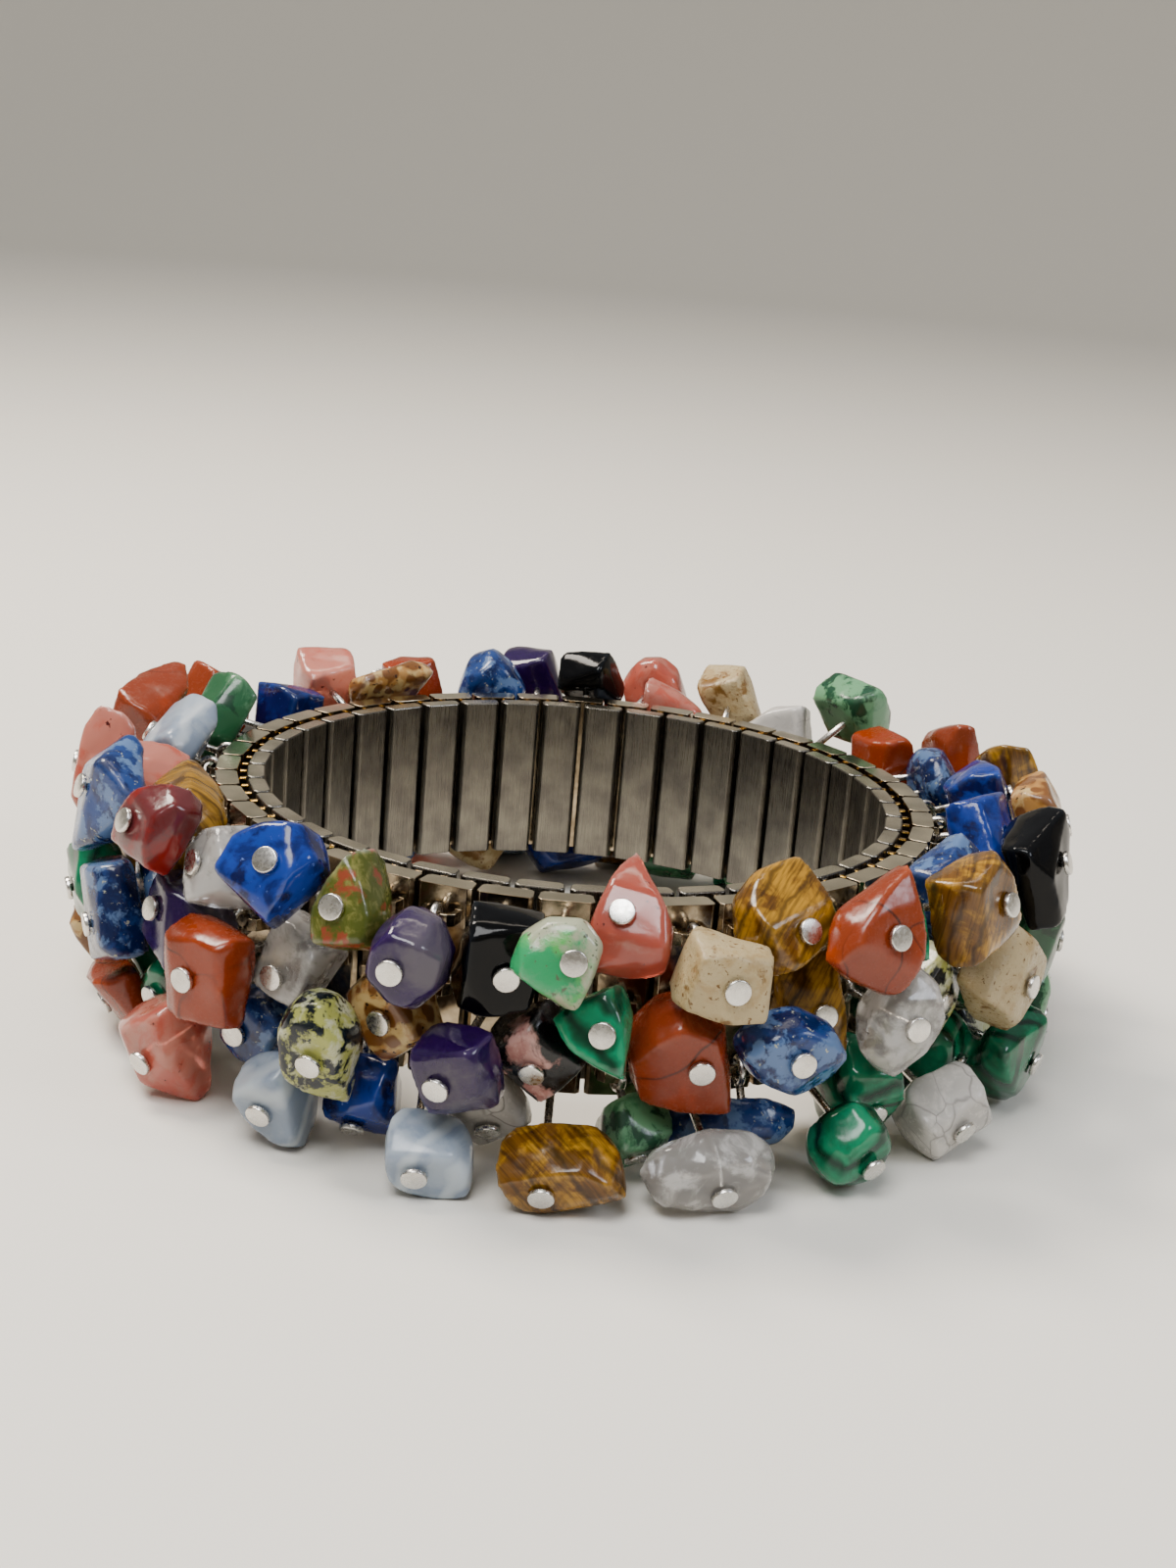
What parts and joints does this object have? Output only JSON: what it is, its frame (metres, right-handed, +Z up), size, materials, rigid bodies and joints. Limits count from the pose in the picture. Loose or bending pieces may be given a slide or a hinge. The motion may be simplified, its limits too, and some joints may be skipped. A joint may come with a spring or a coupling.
{
  "type": "stretch bracelet",
  "caption": "Two-row expansion band of staggered box links, hung all round with tumbled stone chips on looped head pins that fan out and hang over each other in rows.",
  "frame": {"origin": "on the band's axis, at the surface that the bracelet rests on as it lies on its side", "axes": "+Z up along the band's axis, +X to the right of the picture, the picture taken from -Y"},
  "size_m": [0.0872, 0.087, 0.0256],
  "materials": {
    "inner_links": "brushed along the band's width, satin rims",
    "outer_links": "polished, warm nickel tone",
    "head_pins": "polished wire, flat heads",
    "red_jasper_chips": "tumbled, glossy, orange-red with fine cracks",
    "lapis_chips": "tumbled, glossy, deep blue mottled lighter",
    "sodalite_chips": "tumbled, glossy, grey-blue with white veins",
    "amethyst_chips": "tumbled, glassy, purple clouding to clear grey",
    "clear_quartz_chips": "tumbled, glassy, milky clear",
    "rose_quartz_chips": "tumbled, glassy, streaked pink",
    "tiger_eye_chips": "tumbled, silky, gold and brown fibre bands",
    "aventurine_chips": "tumbled, glossy, mottled green",
    "malachite_chips": "tumbled, glossy, banded green",
    "obsidian_chips": "tumbled, glassy, black",
    "carnelian_chips": "tumbled, glossy, dark orange-red",
    "leopard_jasper_chips": "tumbled, glossy, brown with cream spots",
    "fossil_jasper_chips": "tumbled, satin, cream with pits",
    "howlite_chips": "tumbled, glossy, white with grey veins",
    "rhodonite_chips": "tumbled, glossy, pink with black veins",
    "unakite_chips": "tumbled, glossy, olive with salmon patches",
    "blue_agate_chips": "tumbled, glassy, pale milky blue",
    "dendritic_agate_chips": "tumbled, glossy, yellow with dark growths",
    "chrysoprase_chips": "tumbled, glossy, mint with a rough white part"
  },
  "bodies": {
    "root": {"inner_links": "inner_links", "outer_links": "outer_links", "head_pins": "head_pins", "red_jasper_chips": "red_jasper_chips", "lapis_chips": "lapis_chips", "sodalite_chips": "sodalite_chips", "amethyst_chips": "amethyst_chips", "clear_quartz_chips": "clear_quartz_chips", "rose_quartz_chips": "rose_quartz_chips", "tiger_eye_chips": "tiger_eye_chips", "aventurine_chips": "aventurine_chips", "malachite_chips": "malachite_chips", "obsidian_chips": "obsidian_chips", "carnelian_chips": "carnelian_chips", "leopard_jasper_chips": "leopard_jasper_chips", "fossil_jasper_chips": "fossil_jasper_chips", "howlite_chips": "howlite_chips", "rhodonite_chips": "rhodonite_chips", "unakite_chips": "unakite_chips", "blue_agate_chips": "blue_agate_chips", "dendritic_agate_chips": "dendritic_agate_chips", "chrysoprase_chips": "chrysoprase_chips"}
  },
  "joints": []
}
